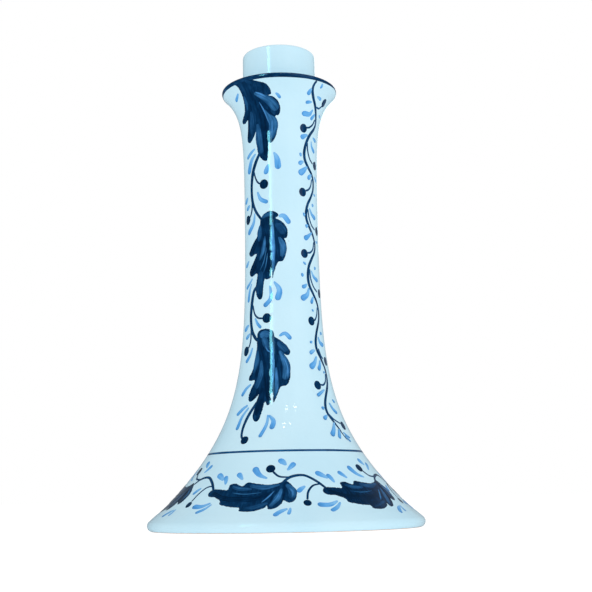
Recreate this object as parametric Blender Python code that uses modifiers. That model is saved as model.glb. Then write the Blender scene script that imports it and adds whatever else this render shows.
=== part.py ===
"""A hand-thrown talavera candlestick: trumpet foot and column, flared drip pan and upright candle socket.

Units are metres, +Z is up, and the origin is the centre of the ring that the foot stands on.
The clay sections are thrown and luted one on another, so every section is a turned profile.
"""

import math

import bpy

# Driving dimensions.
TOTAL_HEIGHT = 0.250
FOOT_JOINT_HEIGHT = 0.0375  # where the foot's bell is luted to the column
PAN_JOINT_HEIGHT = 0.2130  # where the column carries the drip pan
PAN_FLOOR_HEIGHT = 0.2190  # the floor that the socket and the candle stand on
LUTE_GAP = 0.0003  # clearance between neighbouring sections
SEGMENTS = 48  # facets round the axis

# Outer outline of the trunk: a straight waist, a bell at the foot, a kick at its lip, a flare at the pan.
WAIST_RADIUS = 0.0192
WAIST_HEIGHT = 0.120  # the column's rings are spaced from here towards both ends
BELL_SPREAD, BELL_HEIGHT, BELL_POWER = 0.0481, 0.0417, 1.39
KICK_SPREAD, KICK_HEIGHT = 0.0159, 0.0045
FLARE_SPREAD, FLARE_AT, FLARE_HEIGHT = 0.00576, 0.221, 0.0102
TRUNK_WALL = 0.0055

# Foot lip: a rounded outer edge above a flat standing ring.
FOOT_RADIUS = 0.06975
FOOT_LIP_ROUND = 0.0029
FOOT_LIP_TANGENT = math.radians(50)  # where the round runs into the bell's slope
FOOT_SLOPE_BOTTOM = 0.0080
STANDING_RING_WIDTH = 0.0053
FOOT_INNER_ROUND = 0.0024

# Drip pan lip: a rounded edge, broader below than above.
PAN_RADIUS = 0.03067
PAN_WIDEST_AT = 0.2290
PAN_UNDER_ROUND = 0.0022
PAN_LIP_ROUND = 0.0010
PAN_FLARE_TOP = 0.2268  # the flare's outline gives way to the lip's under round above this
PAN_WALL, PAN_LIP_WALL = 0.0036, 0.0024  # at the bottom of the well and at the lip
PAN_WELL_RADIUS = 0.0206  # where the well meets the floor
PAN_WELL_ROUND = 0.0012
PAN_WELL_BOTTOM, PAN_WELL_TOP = 0.2235, 0.2290  # heights between which the well's wall follows the flare
SEAT_RADIUS, SEAT_RISE = 0.0116, 0.0007  # raised seat that centres the socket and carries the candle
SPIGOT_RADIUS, SPIGOT_BORE, SPIGOT_DEPTH = 0.0142, 0.0105, 0.0038
SPIGOT_TAPER = 0.0003
SPIGOT_HOLLOW = 0.0006  # how far the spigot's hollow reaches above the joint

# Candle socket.
SOCKET_BASE_RADIUS = 0.01955
SOCKET_TOP_RADIUS = 0.01935
SOCKET_OUTER_ROUND = 0.0013
SOCKET_INNER_ROUND = 0.0018
BORE_TOP_RADIUS = 0.0125
BORE_BASE_RADIUS = 0.0120

# Reinforcing coil pressed into the inner corner of the foot joint.
COIL_HALF_THICKNESS = 0.0021
COIL_HALF_HEIGHT = 0.0040
COIL_SIDES = 12

GLAZE = (0.60, 0.83, 0.94, 1.0)
RAW_CLAY = (0.62, 0.33, 0.20, 1.0)


def clear_scene():
    for old in list(bpy.data.objects):
        bpy.data.objects.remove(old)


def make_material(name, colour, roughness):
    material = bpy.data.materials.new(name)
    material.use_nodes = True
    shader = material.node_tree.nodes["Principled BSDF"]
    shader.inputs["Base Color"].default_value = colour
    shader.inputs["Roughness"].default_value = roughness
    shader.inputs["Metallic"].default_value = 0.0
    return material


def trunk_radius(height):
    """Outer radius of the foot, column and pan flare at a height."""
    bell = BELL_SPREAD * math.exp(-((height / BELL_HEIGHT) ** BELL_POWER))
    kick = KICK_SPREAD * math.exp(-height / KICK_HEIGHT)
    flare = FLARE_SPREAD * math.exp((height - FLARE_AT) / FLARE_HEIGHT)
    return WAIST_RADIUS + bell + kick + flare


def trunk_slope(height):
    """How fast the outer radius changes with height."""
    step = 1e-5
    return (trunk_radius(height + step) - trunk_radius(height - step)) / (2 * step)


def inner_radius(height, wall):
    """Radius of the inside of a wall that is this thick at right angles to its face."""
    return trunk_radius(height) - wall * math.hypot(1, trunk_slope(height))


def spaced(start, end, count, bias=1.0):
    """Numbers from start to end, both included. A bias above 1 crowds them towards the start."""
    return [start + (end - start) * (i / (count - 1)) ** bias for i in range(count)]


def arc(centre_r, centre_z, radius, start_degrees, end_degrees, count):
    """Points (r, z) along a circular arc, both ends included."""
    angles = [math.radians(a) for a in spaced(start_degrees, end_degrees, count)]
    return [(centre_r + radius * math.cos(a), centre_z + radius * math.sin(a)) for a in angles]


def turned(name, profile, material, collection, closed=True):
    """A body turned round the Z axis from a profile of (r, z) points that runs down its outer side."""
    mesh = bpy.data.meshes.new(name)
    edges = [(i, i + 1) for i in range(len(profile) - 1)]
    if closed:
        edges.append((len(profile) - 1, 0))
    mesh.from_pydata([(r, 0.0, z) for r, z in profile], edges, [])
    body = bpy.data.objects.new(name, mesh)
    collection.objects.link(body)
    mesh.materials.append(material)
    screw = body.modifiers.new("turned", "SCREW")
    screw.axis = "Z"
    screw.angle = math.tau
    screw.steps = SEGMENTS
    screw.render_steps = SEGMENTS
    screw.use_merge_vertices = True
    screw.merge_threshold = 0.00001
    screw.use_smooth_shade = True
    return body


def foot_bell(material, collection):
    """The flared foot, open underneath, from its standing ring up to the joint under the column."""
    top = FOOT_JOINT_HEIGHT - LUTE_GAP / 2
    outer = [(trunk_radius(z), z) for z in spaced(top, FOOT_SLOPE_BOTTOM, 9)]
    lip_centre = FOOT_RADIUS - FOOT_LIP_ROUND
    lip = arc(lip_centre, FOOT_LIP_ROUND, FOOT_LIP_ROUND, math.degrees(FOOT_LIP_TANGENT), -90, 7)
    ring_inside = lip_centre - STANDING_RING_WIDTH
    inner_round = arc(ring_inside, FOOT_INNER_ROUND, FOOT_INNER_ROUND, -90, -150, 4)
    inner = [(inner_radius(z, TRUNK_WALL), z) for z in spaced(FOOT_SLOPE_BOTTOM, top, 8)]
    return turned("foot_bell", outer + lip + inner_round + inner, material, collection)


def column(material, collection):
    """The hollow column between the foot and the drip pan."""
    bottom = FOOT_JOINT_HEIGHT + LUTE_GAP / 2
    top = PAN_JOINT_HEIGHT - LUTE_GAP / 2
    upper = spaced(top, WAIST_HEIGHT, 7, bias=1.5)
    lower = spaced(bottom, WAIST_HEIGHT, 9, bias=1.3)
    outer_heights = upper + lower[-2::-1]
    inner_heights = lower + upper[-2::-1]
    outer = [(trunk_radius(z), z) for z in outer_heights]
    inner = [(inner_radius(z, TRUNK_WALL), z) for z in inner_heights]
    return turned("column", outer + inner, material, collection)


def drip_pan(material, collection):
    """The flared pan with its floor. A ring spigot under the floor centres it in the column."""
    bottom = PAN_JOINT_HEIGHT + LUTE_GAP / 2
    under_centre = PAN_RADIUS - PAN_UNDER_ROUND
    lip_centre = PAN_RADIUS - PAN_LIP_ROUND
    well = arc(PAN_WELL_RADIUS, PAN_FLOOR_HEIGHT + PAN_WELL_ROUND, PAN_WELL_ROUND, -90, -20, 3)
    well_heights = spaced(PAN_WELL_BOTTOM, PAN_WELL_TOP, 4)
    well_walls = spaced(PAN_WALL, PAN_LIP_WALL, 4)
    inner_flare = [(inner_radius(z, wall), z) for z, wall in zip(well_heights, well_walls)]
    lip = arc(lip_centre, PAN_WIDEST_AT, PAN_LIP_ROUND, 150, 0, 7)
    under = arc(under_centre, PAN_WIDEST_AT, PAN_UNDER_ROUND, -9, -45, 5)
    flare = [(trunk_radius(z), z) for z in spaced(PAN_FLARE_TOP, bottom, 5)]
    spigot = [
        (SPIGOT_RADIUS, bottom),
        (SPIGOT_RADIUS - SPIGOT_TAPER, bottom - SPIGOT_DEPTH),
        (SPIGOT_BORE, bottom - SPIGOT_DEPTH),
        (SPIGOT_BORE - SPIGOT_TAPER, bottom + SPIGOT_HOLLOW),
        (0.0, bottom + SPIGOT_HOLLOW),
    ]
    seat_top = PAN_FLOOR_HEIGHT + SEAT_RISE
    seat = [(0.0, seat_top), (SEAT_RADIUS, seat_top), (SEAT_RADIUS, PAN_FLOOR_HEIGHT)]
    profile = seat + well + inner_flare + lip + under + flare + spigot
    return turned("drip_pan", profile, material, collection, closed=False)


def candle_socket(material, collection):
    """The upright tube that holds the candle. It stands on the pan's floor."""
    bottom = PAN_FLOOR_HEIGHT + LUTE_GAP
    outer_centre = SOCKET_TOP_RADIUS - SOCKET_OUTER_ROUND
    outer_round = arc(outer_centre, TOTAL_HEIGHT - SOCKET_OUTER_ROUND, SOCKET_OUTER_ROUND, 90, 0, 5)
    outer = [(SOCKET_BASE_RADIUS, bottom)]
    bore = [(BORE_BASE_RADIUS, bottom)]
    inner_centre = BORE_TOP_RADIUS + SOCKET_INNER_ROUND
    inner_round = arc(inner_centre, TOTAL_HEIGHT - SOCKET_INNER_ROUND, SOCKET_INNER_ROUND, 180, 90, 5)
    return turned("candle_socket", outer_round + outer + bore + inner_round, material, collection)


def foot_joint_coil(material, collection):
    """An oval coil that lies along the inside of the wall, over the foot joint."""
    wall_radius = inner_radius(FOOT_JOINT_HEIGHT, TRUNK_WALL)
    lean = math.atan(trunk_slope(FOOT_JOINT_HEIGHT))
    inset = COIL_HALF_THICKNESS + 2 * LUTE_GAP
    centre_r = wall_radius - inset * math.cos(lean)
    centre_z = FOOT_JOINT_HEIGHT + inset * math.sin(lean)
    profile = []
    for i in range(COIL_SIDES):
        turn = -math.tau * i / COIL_SIDES
        across = COIL_HALF_THICKNESS * math.cos(turn)
        along = COIL_HALF_HEIGHT * math.sin(turn)
        r = centre_r + across * math.cos(lean) + along * math.sin(lean)
        z = centre_z - across * math.sin(lean) + along * math.cos(lean)
        profile.append((r, z))
    return turned("foot_joint_coil", profile, material, collection)


def main():
    clear_scene()
    collection = bpy.data.collections.new("talavera_candlestick")
    bpy.context.scene.collection.children.link(collection)
    glaze = make_material("white_glaze", GLAZE, 0.12)
    clay = make_material("raw_clay", RAW_CLAY, 0.85)
    foot_bell(glaze, collection)
    column(glaze, collection)
    drip_pan(glaze, collection)
    candle_socket(glaze, collection)
    foot_joint_coil(clay, collection)


main()
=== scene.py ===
"""Finish for a talavera candlestick: fine turned clay sections, tin glaze and brushed cobalt decoration.

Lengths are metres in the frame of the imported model. The decoration is laid out on the turned surface by two
coordinates: degrees round the axis from the front (-Y), positive to the right, and height in millimetres.
"""

import math

import bpy
import numpy as np
from mathutils import Matrix, Vector
from mathutils.geometry import delaunay_2d_cdt

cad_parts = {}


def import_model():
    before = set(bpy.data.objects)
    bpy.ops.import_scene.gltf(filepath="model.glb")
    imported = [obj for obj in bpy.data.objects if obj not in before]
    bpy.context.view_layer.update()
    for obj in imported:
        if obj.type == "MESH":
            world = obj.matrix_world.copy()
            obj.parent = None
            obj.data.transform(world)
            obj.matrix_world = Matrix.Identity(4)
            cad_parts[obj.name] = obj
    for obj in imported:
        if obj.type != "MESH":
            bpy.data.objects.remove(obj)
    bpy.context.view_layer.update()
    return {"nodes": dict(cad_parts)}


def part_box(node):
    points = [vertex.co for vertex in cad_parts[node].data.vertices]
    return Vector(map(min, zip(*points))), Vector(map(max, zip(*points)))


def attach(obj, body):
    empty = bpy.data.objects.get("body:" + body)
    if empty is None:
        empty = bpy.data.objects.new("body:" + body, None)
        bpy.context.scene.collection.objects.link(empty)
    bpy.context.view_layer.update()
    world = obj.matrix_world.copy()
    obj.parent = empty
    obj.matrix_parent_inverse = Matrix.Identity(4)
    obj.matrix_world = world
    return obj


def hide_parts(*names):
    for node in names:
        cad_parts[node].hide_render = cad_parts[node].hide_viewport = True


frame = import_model()

MM = 0.001

# ---- sizes

TOTAL_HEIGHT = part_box("candle_socket")[1].z
FOOT_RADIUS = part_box("foot_bell")[1].x
PAN_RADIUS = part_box("drip_pan")[1].x
FOOT_JOINT_HEIGHT = (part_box("foot_bell")[1].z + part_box("column")[0].z) / 2
PAN_JOINT_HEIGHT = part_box("column")[1].z
SPIGOT_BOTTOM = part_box("drip_pan")[0].z
SOCKET_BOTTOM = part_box("candle_socket")[0].z
LUTE_GAP = 0.3 * MM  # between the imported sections
PAN_FLOOR_HEIGHT = SOCKET_BOTTOM - LUTE_GAP

WAIST_RADIUS = 19.2 * MM
BELL_SPREAD, BELL_HEIGHT, BELL_POWER = 48.1 * MM, 41.7 * MM, 1.39
KICK_SPREAD, KICK_HEIGHT = 15.9 * MM, 4.5 * MM
FLARE_SPREAD, FLARE_AT, FLARE_HEIGHT = 5.76 * MM, 221 * MM, 10.2 * MM
TRUNK_WALL = 5.5 * MM
PAN_WALL, PAN_LIP_WALL = 3.6 * MM, 2.4 * MM  # at the bottom of the well and at the lip

FOOT_LIP_ROUND = 2.9 * MM
FOOT_SLOPE_BOTTOM = 8.0 * MM
STANDING_RING_WIDTH = 5.3 * MM
FOOT_INNER_ROUND = 2.4 * MM

PAN_WIDEST_AT = 229.0 * MM
PAN_UNDER_ROUND = 2.2 * MM
PAN_LIP_ROUND = 1.0 * MM
PAN_UNDER_CENTRE = PAN_RADIUS - PAN_UNDER_ROUND
PAN_LIP_CENTRE = PAN_RADIUS - PAN_LIP_ROUND
PAN_ARC_START = PAN_WIDEST_AT - PAN_UNDER_ROUND * math.sin(math.radians(45))
PAN_WELL_RADIUS, PAN_WELL_ROUND = 20.6 * MM, 1.2 * MM
PAN_WELL_BOTTOM, PAN_WELL_TOP = 223.5 * MM, 229.0 * MM
SEAT_RADIUS, SEAT_RISE = 11.6 * MM, 0.7 * MM
SPIGOT_RADIUS, SPIGOT_BORE = 14.2 * MM, 10.5 * MM

SOCKET_BASE_RADIUS, SOCKET_TOP_RADIUS = 19.55 * MM, 19.35 * MM
SOCKET_OUTER_ROUND, SOCKET_INNER_ROUND = 1.3 * MM, 1.8 * MM
BORE_TOP_RADIUS, BORE_BASE_RADIUS = 12.5 * MM, 12.0 * MM

SEGMENTS = 192  # facets round the axis of a glazed section
NEAR_AXIS = 0.1 * MM  # the radius at which a floor's profile closes
EVEN_BELOW = 10 * MM  # nearer the axis than this, the potter's unevenness fades out
SHARP_EDGE = math.radians(50)

PAINT_LIFT = 0.05 * MM  # how far a brush stroke stands proud of the glaze
PAINT_LAYER = 0.008 * MM  # how much further each later stroke stands proud
PAINT_SUNK = 0.03 * MM  # how far a stroke's edge sinks into what it is painted on
PAINT_ROOT = 0.12 * MM  # how deep the hidden underside of a stroke lies
WHEEL_LINE_ROOT = 4 * PAINT_ROOT  # how deep the underside of a line round the pot lies
THINNEST_HALF = 0.02 * MM  # half the width of a stroke at its very tip
ROW_SPACING, EXTRA_ROWS = 1.0 * MM, 6  # facets along a stroke
FEWEST_ROWS, MOST_ROWS = 8, 340
LONG_LINE = 60 * MM  # a stroke longer than this has evenly spaced facets
FILL_INSET, FILL_GAP = 0.35, 0.35 * 0.85  # mm from a leaf's outline to its first row, and the least gap
FILL_SPACING, FILL_ROW_SPACING = 0.7, 0.7 * 0.87  # mm between points and rows inside a leaf
BRISTLES_ACROSS, BRISTLES_ALONG = 1.6, 0.10  # how fast the streaks change per mm of a stroke
FILL_BRISTLES_ACROSS, FILL_BRISTLES_UP = 0.8, 0.16  # and per mm of a filled leaf

# ---- the turned surface


def outer_radius(z):
    """Radius of the foot, column and pan's underside at height z, without the potter's unevenness."""
    if z > PAN_ARC_START:
        rise = min(PAN_WIDEST_AT - z, PAN_UNDER_ROUND)
        return PAN_UNDER_CENTRE + math.sqrt(PAN_UNDER_ROUND**2 - rise**2)
    bell = BELL_SPREAD * math.exp(-((z / BELL_HEIGHT) ** BELL_POWER))
    kick = KICK_SPREAD * math.exp(-z / KICK_HEIGHT)
    flare = FLARE_SPREAD * math.exp((z - FLARE_AT) / FLARE_HEIGHT)
    return WAIST_RADIUS + bell + kick + flare


def outer_slope(z):
    step = 0.01 * MM
    return (outer_radius(z + step) - outer_radius(z - step)) / (2 * step)


def inner_radius(z, wall):
    """Radius of the inside of a wall that is this thick at right angles to its face."""
    return outer_radius(z) - wall * math.hypot(1, outer_slope(z))


HAND_INSET, HAND_SWAY, HAND_RINGS = 0.13, 0.065, 0.012  # mm


def unevenness(angle, z):
    """How far the potter's hand leaves the surface inside its true circle. Never above zero."""
    sway = math.sin(2 * angle + 18 * z + 0.7) + 0.5 * math.sin(3 * angle - 31 * z)
    rings = math.sin(z / (1.05 * MM) + 0.8 * math.sin(angle))
    return (-HAND_INSET + HAND_SWAY * sway + HAND_RINGS * rings) * MM


def skin(angle, z):
    """Point of the outer glaze at an angle from the front (radians) and a height."""
    r = outer_radius(z) + unevenness(angle, z)
    return np.array((r * math.sin(angle), -r * math.cos(angle), z))


def skin_normal(angle, z):
    turn_step, rise_step = 0.002, 0.05 * MM
    across = skin(angle + turn_step, z) - skin(angle - turn_step, z)
    up = skin(angle, z + rise_step) - skin(angle, z - rise_step)
    normal = np.cross(across, up)
    return normal / np.linalg.norm(normal)


# ---- materials

GLAZE_WHITE = (0.572, 0.800, 0.908, 1)
GLAZE_COOL = (0.535, 0.775, 0.895, 1)
PINHOLE = (0.36, 0.50, 0.56, 1)
CLAY = (0.56, 0.29, 0.17, 1)
CLAY_PALE = (0.70, 0.42, 0.27, 1)
GLAZE_SPECULAR, PAINT_SPECULAR = 0.2, 0.4  # the white glaze reflects less
WIPED_ROUGHNESS, CLAY_ROUGHNESS = 0.82, 0.85
INK_RAMP = (
    (0.00, GLAZE_WHITE),
    (0.14, (0.30, 0.60, 0.87, 1)),
    (0.30, (0.100, 0.36, 0.76, 1)),
    (0.42, (0.050, 0.21, 0.50, 1)),
    (0.54, (0.021, 0.112, 0.27, 1)),
    (0.66, (0.009, 0.060, 0.165, 1)),
    (0.80, (0.002, 0.028, 0.090, 1)),
    (0.92, (0.0008, 0.014, 0.052, 1)),
    (1.00, (0.0005, 0.009, 0.034, 1)),
)
MIX_SOCKETS = {"RGBA": (6, 7, 2), "FLOAT": (2, 3, 0)}  # a mix node's two inputs and its output, by type


class Nodes:
    """A short way to write a node tree. add() and its kin return outputs."""

    def __init__(self, tree):
        self.tree = tree

    def feed(self, node, inputs):
        """Give inputs, by name or number, a value or the output of another node."""
        for key, value in inputs.items():
            if isinstance(value, (int, float, tuple)):
                node.inputs[key].default_value = value
            else:
                self.tree.links.new(value, node.inputs[key])

    def add(self, kind, inputs, **settings):
        node = self.tree.nodes.new(kind)
        for key, value in settings.items():
            setattr(node, key, value)
        self.feed(node, inputs)
        return node.outputs

    def shade(self, inputs):
        self.feed(self.tree.nodes["Principled BSDF"], inputs)

    def attribute(self, name, output="Fac"):
        return self.add("ShaderNodeAttribute", {}, attribute_name=name)[output]

    def place(self):
        return self.add("ShaderNodeTexCoord", {})["Object"]

    def noise(self, vector, scale, detail=2.0, roughness=0.5):
        inputs = {"Vector": vector, "Scale": scale, "Detail": detail, "Roughness": roughness}
        return self.add("ShaderNodeTexNoise", inputs)["Fac"]

    def remap(self, value, low, high, to_low=0.0, to_high=1.0):
        inputs = {"Value": value, "From Min": low, "From Max": high, "To Min": to_low, "To Max": to_high}
        return self.add("ShaderNodeMapRange", inputs)["Result"]

    def maths(self, operation, first, second):
        return self.add("ShaderNodeMath", {0: first, 1: second}, operation=operation)["Value"]

    def mix(self, factor, first, second, data_type="RGBA"):
        first_at, second_at, output_at = MIX_SOCKETS[data_type]
        inputs = {"Factor": factor, first_at: first, second_at: second}
        return self.add("ShaderNodeMix", inputs, data_type=data_type)[output_at]

    def ramp(self, value, stops):
        """Colours along a value. stops are (position, colour)."""
        node = self.tree.nodes.new("ShaderNodeValToRGB")
        elements = node.color_ramp.elements
        while len(elements) < len(stops):
            elements.new(1.0)
        for element, (position, colour) in zip(elements, stops):
            element.position = position
            element.color = colour
        self.feed(node, {"Fac": value})
        return node.outputs["Color"]

    def bump(self, height, distance, strength, normal=None):
        inputs = {"Height": height, "Distance": distance, "Strength": strength}
        if normal:
            inputs["Normal"] = normal
        return self.add("ShaderNodeBump", inputs)["Normal"]

    def gloss(self, place):
        """The fired gloss that glaze and painting share: soft waves, faint orange peel, uneven shine."""
        waves = self.noise(place, 110, detail=2.0)
        ripples = self.noise(place, 380, detail=1.0)
        peel = self.noise(place, 1100, detail=2.0)
        normal = self.bump(waves, 0.22 * MM, 1.0)
        normal = self.bump(ripples, 0.030 * MM, 1.0, normal)
        normal = self.bump(peel, 0.004 * MM, 1.0, normal)
        shine = self.remap(self.noise(place, 60, detail=3.0), 0.3, 0.7, 0.045, 0.085)
        return normal, shine


def new_material(name):
    """A material, and a way to write its nodes."""
    material = bpy.data.materials.new(name)
    material.use_nodes = True
    return material, Nodes(material.node_tree)


def glaze_material():
    """Pale tin glaze over the clay. Where the attribute "bare" rises, the glaze was wiped off."""
    material, n = new_material("white_glaze")
    place = n.place()
    clouds = n.remap(n.noise(place, 28, detail=3.0), 0.35, 0.65)
    glaze = n.mix(clouds, GLAZE_WHITE, GLAZE_COOL)
    pits = n.add("ShaderNodeTexVoronoi", {"Scale": 190, "Vector": place})
    pit = n.remap(pits["Distance"], 0.035, 0.06, 1.0, 0.0)
    rare = n.remap(n.noise(place, 45, detail=1.0), 0.60, 0.66)
    glaze = n.mix(n.maths("MULTIPLY", pit, rare), glaze, PINHOLE)
    grain = n.noise(place, 700, detail=4.0, roughness=0.6)
    clay = n.mix(n.remap(grain, 0.35, 0.65), CLAY, CLAY_PALE)
    ragged = n.remap(n.noise(place, 240, detail=3.0), 0.3, 0.7, -0.25, 0.25)
    bare = n.remap(n.maths("ADD", n.attribute("bare"), ragged), 0.46, 0.54)
    normal, shine = n.gloss(place)
    sand = n.maths("MULTIPLY", grain, bare)
    wiped_edge = n.maths("SUBTRACT", sand, n.maths("MULTIPLY", bare, 1.6))
    rough = n.mix(bare, shine, WIPED_ROUGHNESS, "FLOAT")
    normal = n.bump(wiped_edge, 0.08 * MM, 0.6, normal)
    n.shade({"Base Color": n.mix(bare, glaze, clay), "Roughness": rough, "Normal": normal})
    n.shade({"Specular IOR Level": GLAZE_SPECULAR})
    return material


def paint_material(name, streaks):
    """Cobalt under gloss. The attribute "ink" is how heavily it lies, "brush" runs with the bristles.

    streaks is how much the bristles vary it.
    """
    material, n = new_material(name)
    place = n.place()
    bristles = n.noise(n.attribute("brush", "Vector"), 1.0, detail=3.0, roughness=0.6)
    pools = n.noise(place, 260, detail=2.0)
    streak = n.remap(bristles, 0.3, 0.7, -streaks, streaks)
    pool = n.remap(pools, 0.3, 0.7, -streaks / 2, streaks / 2)
    heavy = n.maths("ADD", n.attribute("ink"), n.maths("ADD", streak, pool))
    normal, shine = n.gloss(place)
    n.shade({"Base Color": n.ramp(heavy, INK_RAMP), "Roughness": shine, "Normal": normal})
    n.shade({"Specular IOR Level": PAINT_SPECULAR})
    return material


def clay_material():
    """Fired earthenware with sandy grain."""
    material, n = new_material("raw_clay")
    place = n.place()
    grain = n.noise(place, 700, detail=4.0, roughness=0.6)
    patches = n.noise(place, 60, detail=2.0)
    shade = n.maths("ADD", n.maths("MULTIPLY", grain, 0.6), n.maths("MULTIPLY", patches, 0.4))
    colour = n.mix(n.remap(shade, 0.38, 0.62), CLAY, CLAY_PALE)
    n.shade({"Base Color": colour, "Roughness": CLAY_ROUGHNESS, "Normal": n.bump(grain, 0.1 * MM, 0.6)})
    return material


# ---- pieces


def new_piece(name, verts, faces, material):
    """A smooth object with one material."""
    mesh = bpy.data.meshes.new(name)
    mesh.from_pydata(verts, [], faces)
    mesh.materials.append(material)
    mesh.shade_smooth()
    piece = bpy.data.objects.new(name, mesh)
    bpy.context.scene.collection.objects.link(piece)
    return piece


def give_numbers(piece, name, numbers):
    piece.data.attributes.new(name, "FLOAT", "POINT").data.foreach_set("value", numbers)


def give_paint(piece, ink, brush):
    give_numbers(piece, "ink", ink)
    flat = [number for vector in brush for number in vector]
    piece.data.attributes.new("brush", "FLOAT_VECTOR", "POINT").data.foreach_set("vector", flat)


def fit(piece, slot, *nodes):
    """The piece rides on the body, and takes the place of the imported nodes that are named."""
    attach(piece, "root")
    if nodes:
        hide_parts(*nodes)


def ring_faces(steps, count):
    """Quads between neighbouring rings of count points each, round the whole turn."""
    faces = []
    for step in range(steps):
        here, there = step * count, (step + 1) % steps * count
        for i in range(count):
            j = (i + 1) % count
            faces.append((here + i, here + j, there + j, there + i))
    return faces


# ---- turned sections


def spaced(start, end, count):
    return [start + (end - start) * i / (count - 1) for i in range(count)]


def run(points, state="glazed"):
    return [(r, z, state) for r, z in points]


def bend(centre_r, centre_z, radius, start_degrees, end_degrees, count, state="glazed"):
    """Profile points along a circular arc, both ends included."""
    angles = [math.radians(a) for a in spaced(start_degrees, end_degrees, count)]
    return [(centre_r + radius * math.cos(a), centre_z + radius * math.sin(a), state) for a in angles]


def outer_run(top, bottom, count):
    """Profile points down the outer glaze."""
    return [(outer_radius(z), z, "skin") for z in spaced(top, bottom, count)]


def inner_run(bottom, top, count):
    """Profile points up the bare inside of the foot or the column."""
    return [(inner_radius(z, TRUNK_WALL), z, "bare") for z in spaced(bottom, top, count)]


def turned(node, profile, material):
    """The glazed section that replaces a node, turned from (r, z, state) points that run down its outside.

    state is "skin" on the outer glaze, "glazed" elsewhere under glaze, and "bare" on clay.
    """
    count = len(profile)
    unset = (0.0, 0.0, 0.0)
    verts, bare, normals = [], [], []
    for step in range(SEGMENTS):
        angle = math.tau * step / SEGMENTS
        for r, z, state in profile:
            radius = r + unevenness(angle, z) * min(1.0, r / EVEN_BELOW)
            verts.append((radius * math.sin(angle), -radius * math.cos(angle), z))
            bare.append(1.0 if state == "bare" else 0.0)
            normals.append(tuple(skin_normal(angle, z)) if state == "skin" else unset)
    piece = new_piece(f"glazed_{node}", verts, ring_faces(SEGMENTS, count), material)
    give_numbers(piece, "bare", bare)
    mesh = piece.data
    mesh.set_sharp_from_angle(angle=SHARP_EDGE)
    outside = [profile[i][2] == "skin" and profile[(i + 1) % count][2] == "skin" for i in range(count)]
    loop_normals = []
    for polygon in mesh.polygons:
        on_skin = outside[polygon.index % count]
        for vertex in polygon.vertices:
            loop_normals.append(normals[vertex] if on_skin else unset)
    mesh.normals_split_custom_set(loop_normals)
    fit(piece, "white_glaze", node)


def glazed_foot_bell(glaze):
    lip_centre = FOOT_RADIUS - FOOT_LIP_ROUND
    ring_inside = lip_centre - STANDING_RING_WIDTH
    profile = outer_run(FOOT_JOINT_HEIGHT, FOOT_SLOPE_BOTTOM, 26)
    profile += bend(lip_centre, FOOT_LIP_ROUND, FOOT_LIP_ROUND, 50, -62, 16)
    profile += bend(lip_centre, FOOT_LIP_ROUND, FOOT_LIP_ROUND, -74, -90, 3, state="bare")
    profile += bend(ring_inside, FOOT_INNER_ROUND, FOOT_INNER_ROUND, -90, -150, 7, state="bare")
    profile += inner_run(FOOT_SLOPE_BOTTOM, FOOT_JOINT_HEIGHT, 16)
    turned("foot_bell", profile, glaze)


def glazed_column(glaze):
    profile = outer_run(PAN_JOINT_HEIGHT, FOOT_JOINT_HEIGHT, 96)
    profile += inner_run(FOOT_JOINT_HEIGHT, PAN_JOINT_HEIGHT, 48)
    turned("column", profile, glaze)


def glazed_drip_pan(glaze):
    floor, seat = PAN_FLOOR_HEIGHT, PAN_FLOOR_HEIGHT + SEAT_RISE
    seat_round = SEAT_RISE / 2
    profile = run([(NEAR_AXIS, seat), (SEAT_RADIUS / 2, seat)])
    profile += bend(SEAT_RADIUS - seat_round, seat - seat_round, seat_round, 90, 0, 4)
    profile += run([(SEAT_RADIUS, floor), (SEAT_RADIUS + 6 * MM, floor)])
    profile += bend(PAN_WELL_RADIUS, floor + PAN_WELL_ROUND, PAN_WELL_ROUND, -90, -20, 5)
    heights = spaced(PAN_WELL_BOTTOM, PAN_WELL_TOP, 7)
    walls = spaced(PAN_WALL, PAN_LIP_WALL, 7)
    profile += run([(inner_radius(z, wall), z) for z, wall in zip(heights, walls)])
    profile += bend(PAN_LIP_CENTRE, PAN_WIDEST_AT, PAN_LIP_ROUND, 150, 4, 16)
    profile += outer_run(PAN_WIDEST_AT, PAN_JOINT_HEIGHT, 26)
    spigot = [
        (SPIGOT_RADIUS, PAN_JOINT_HEIGHT),
        (SPIGOT_RADIUS - 0.3 * MM, SPIGOT_BOTTOM + 0.4 * MM),
        (SPIGOT_RADIUS - 0.7 * MM, SPIGOT_BOTTOM),
        (SPIGOT_BORE, SPIGOT_BOTTOM),
        (SPIGOT_BORE - 0.3 * MM, PAN_JOINT_HEIGHT + 0.6 * MM),
        (NEAR_AXIS, PAN_JOINT_HEIGHT + 0.9 * MM),
    ]
    profile += run(spigot, "bare")
    turned("drip_pan", profile, glaze)


def glazed_candle_socket(glaze):
    top, bottom = TOTAL_HEIGHT, SOCKET_BOTTOM
    outer_round, inner_round = SOCKET_OUTER_ROUND, SOCKET_INNER_ROUND
    profile = bend(SOCKET_TOP_RADIUS - outer_round, top - outer_round, outer_round, 90, 0, 9)
    swell = SOCKET_BASE_RADIUS - SOCKET_TOP_RADIUS
    heights = spaced(top - outer_round - 2 * MM, bottom, 12)
    outside = [(SOCKET_TOP_RADIUS + swell * ((top - z) / (top - bottom)), z) for z in heights]
    profile += run(outside)
    widen = BORE_TOP_RADIUS - BORE_BASE_RADIUS
    heights = spaced(bottom, top - inner_round - 1 * MM, 10)
    bore = [(BORE_BASE_RADIUS + widen * (z - bottom) / (top - bottom), z) for z in heights]
    profile += run(bore)
    profile += bend(BORE_TOP_RADIUS + inner_round, top - inner_round, inner_round, 180, 90, 8)
    turned("candle_socket", profile, glaze)


# ---- brushwork


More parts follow.
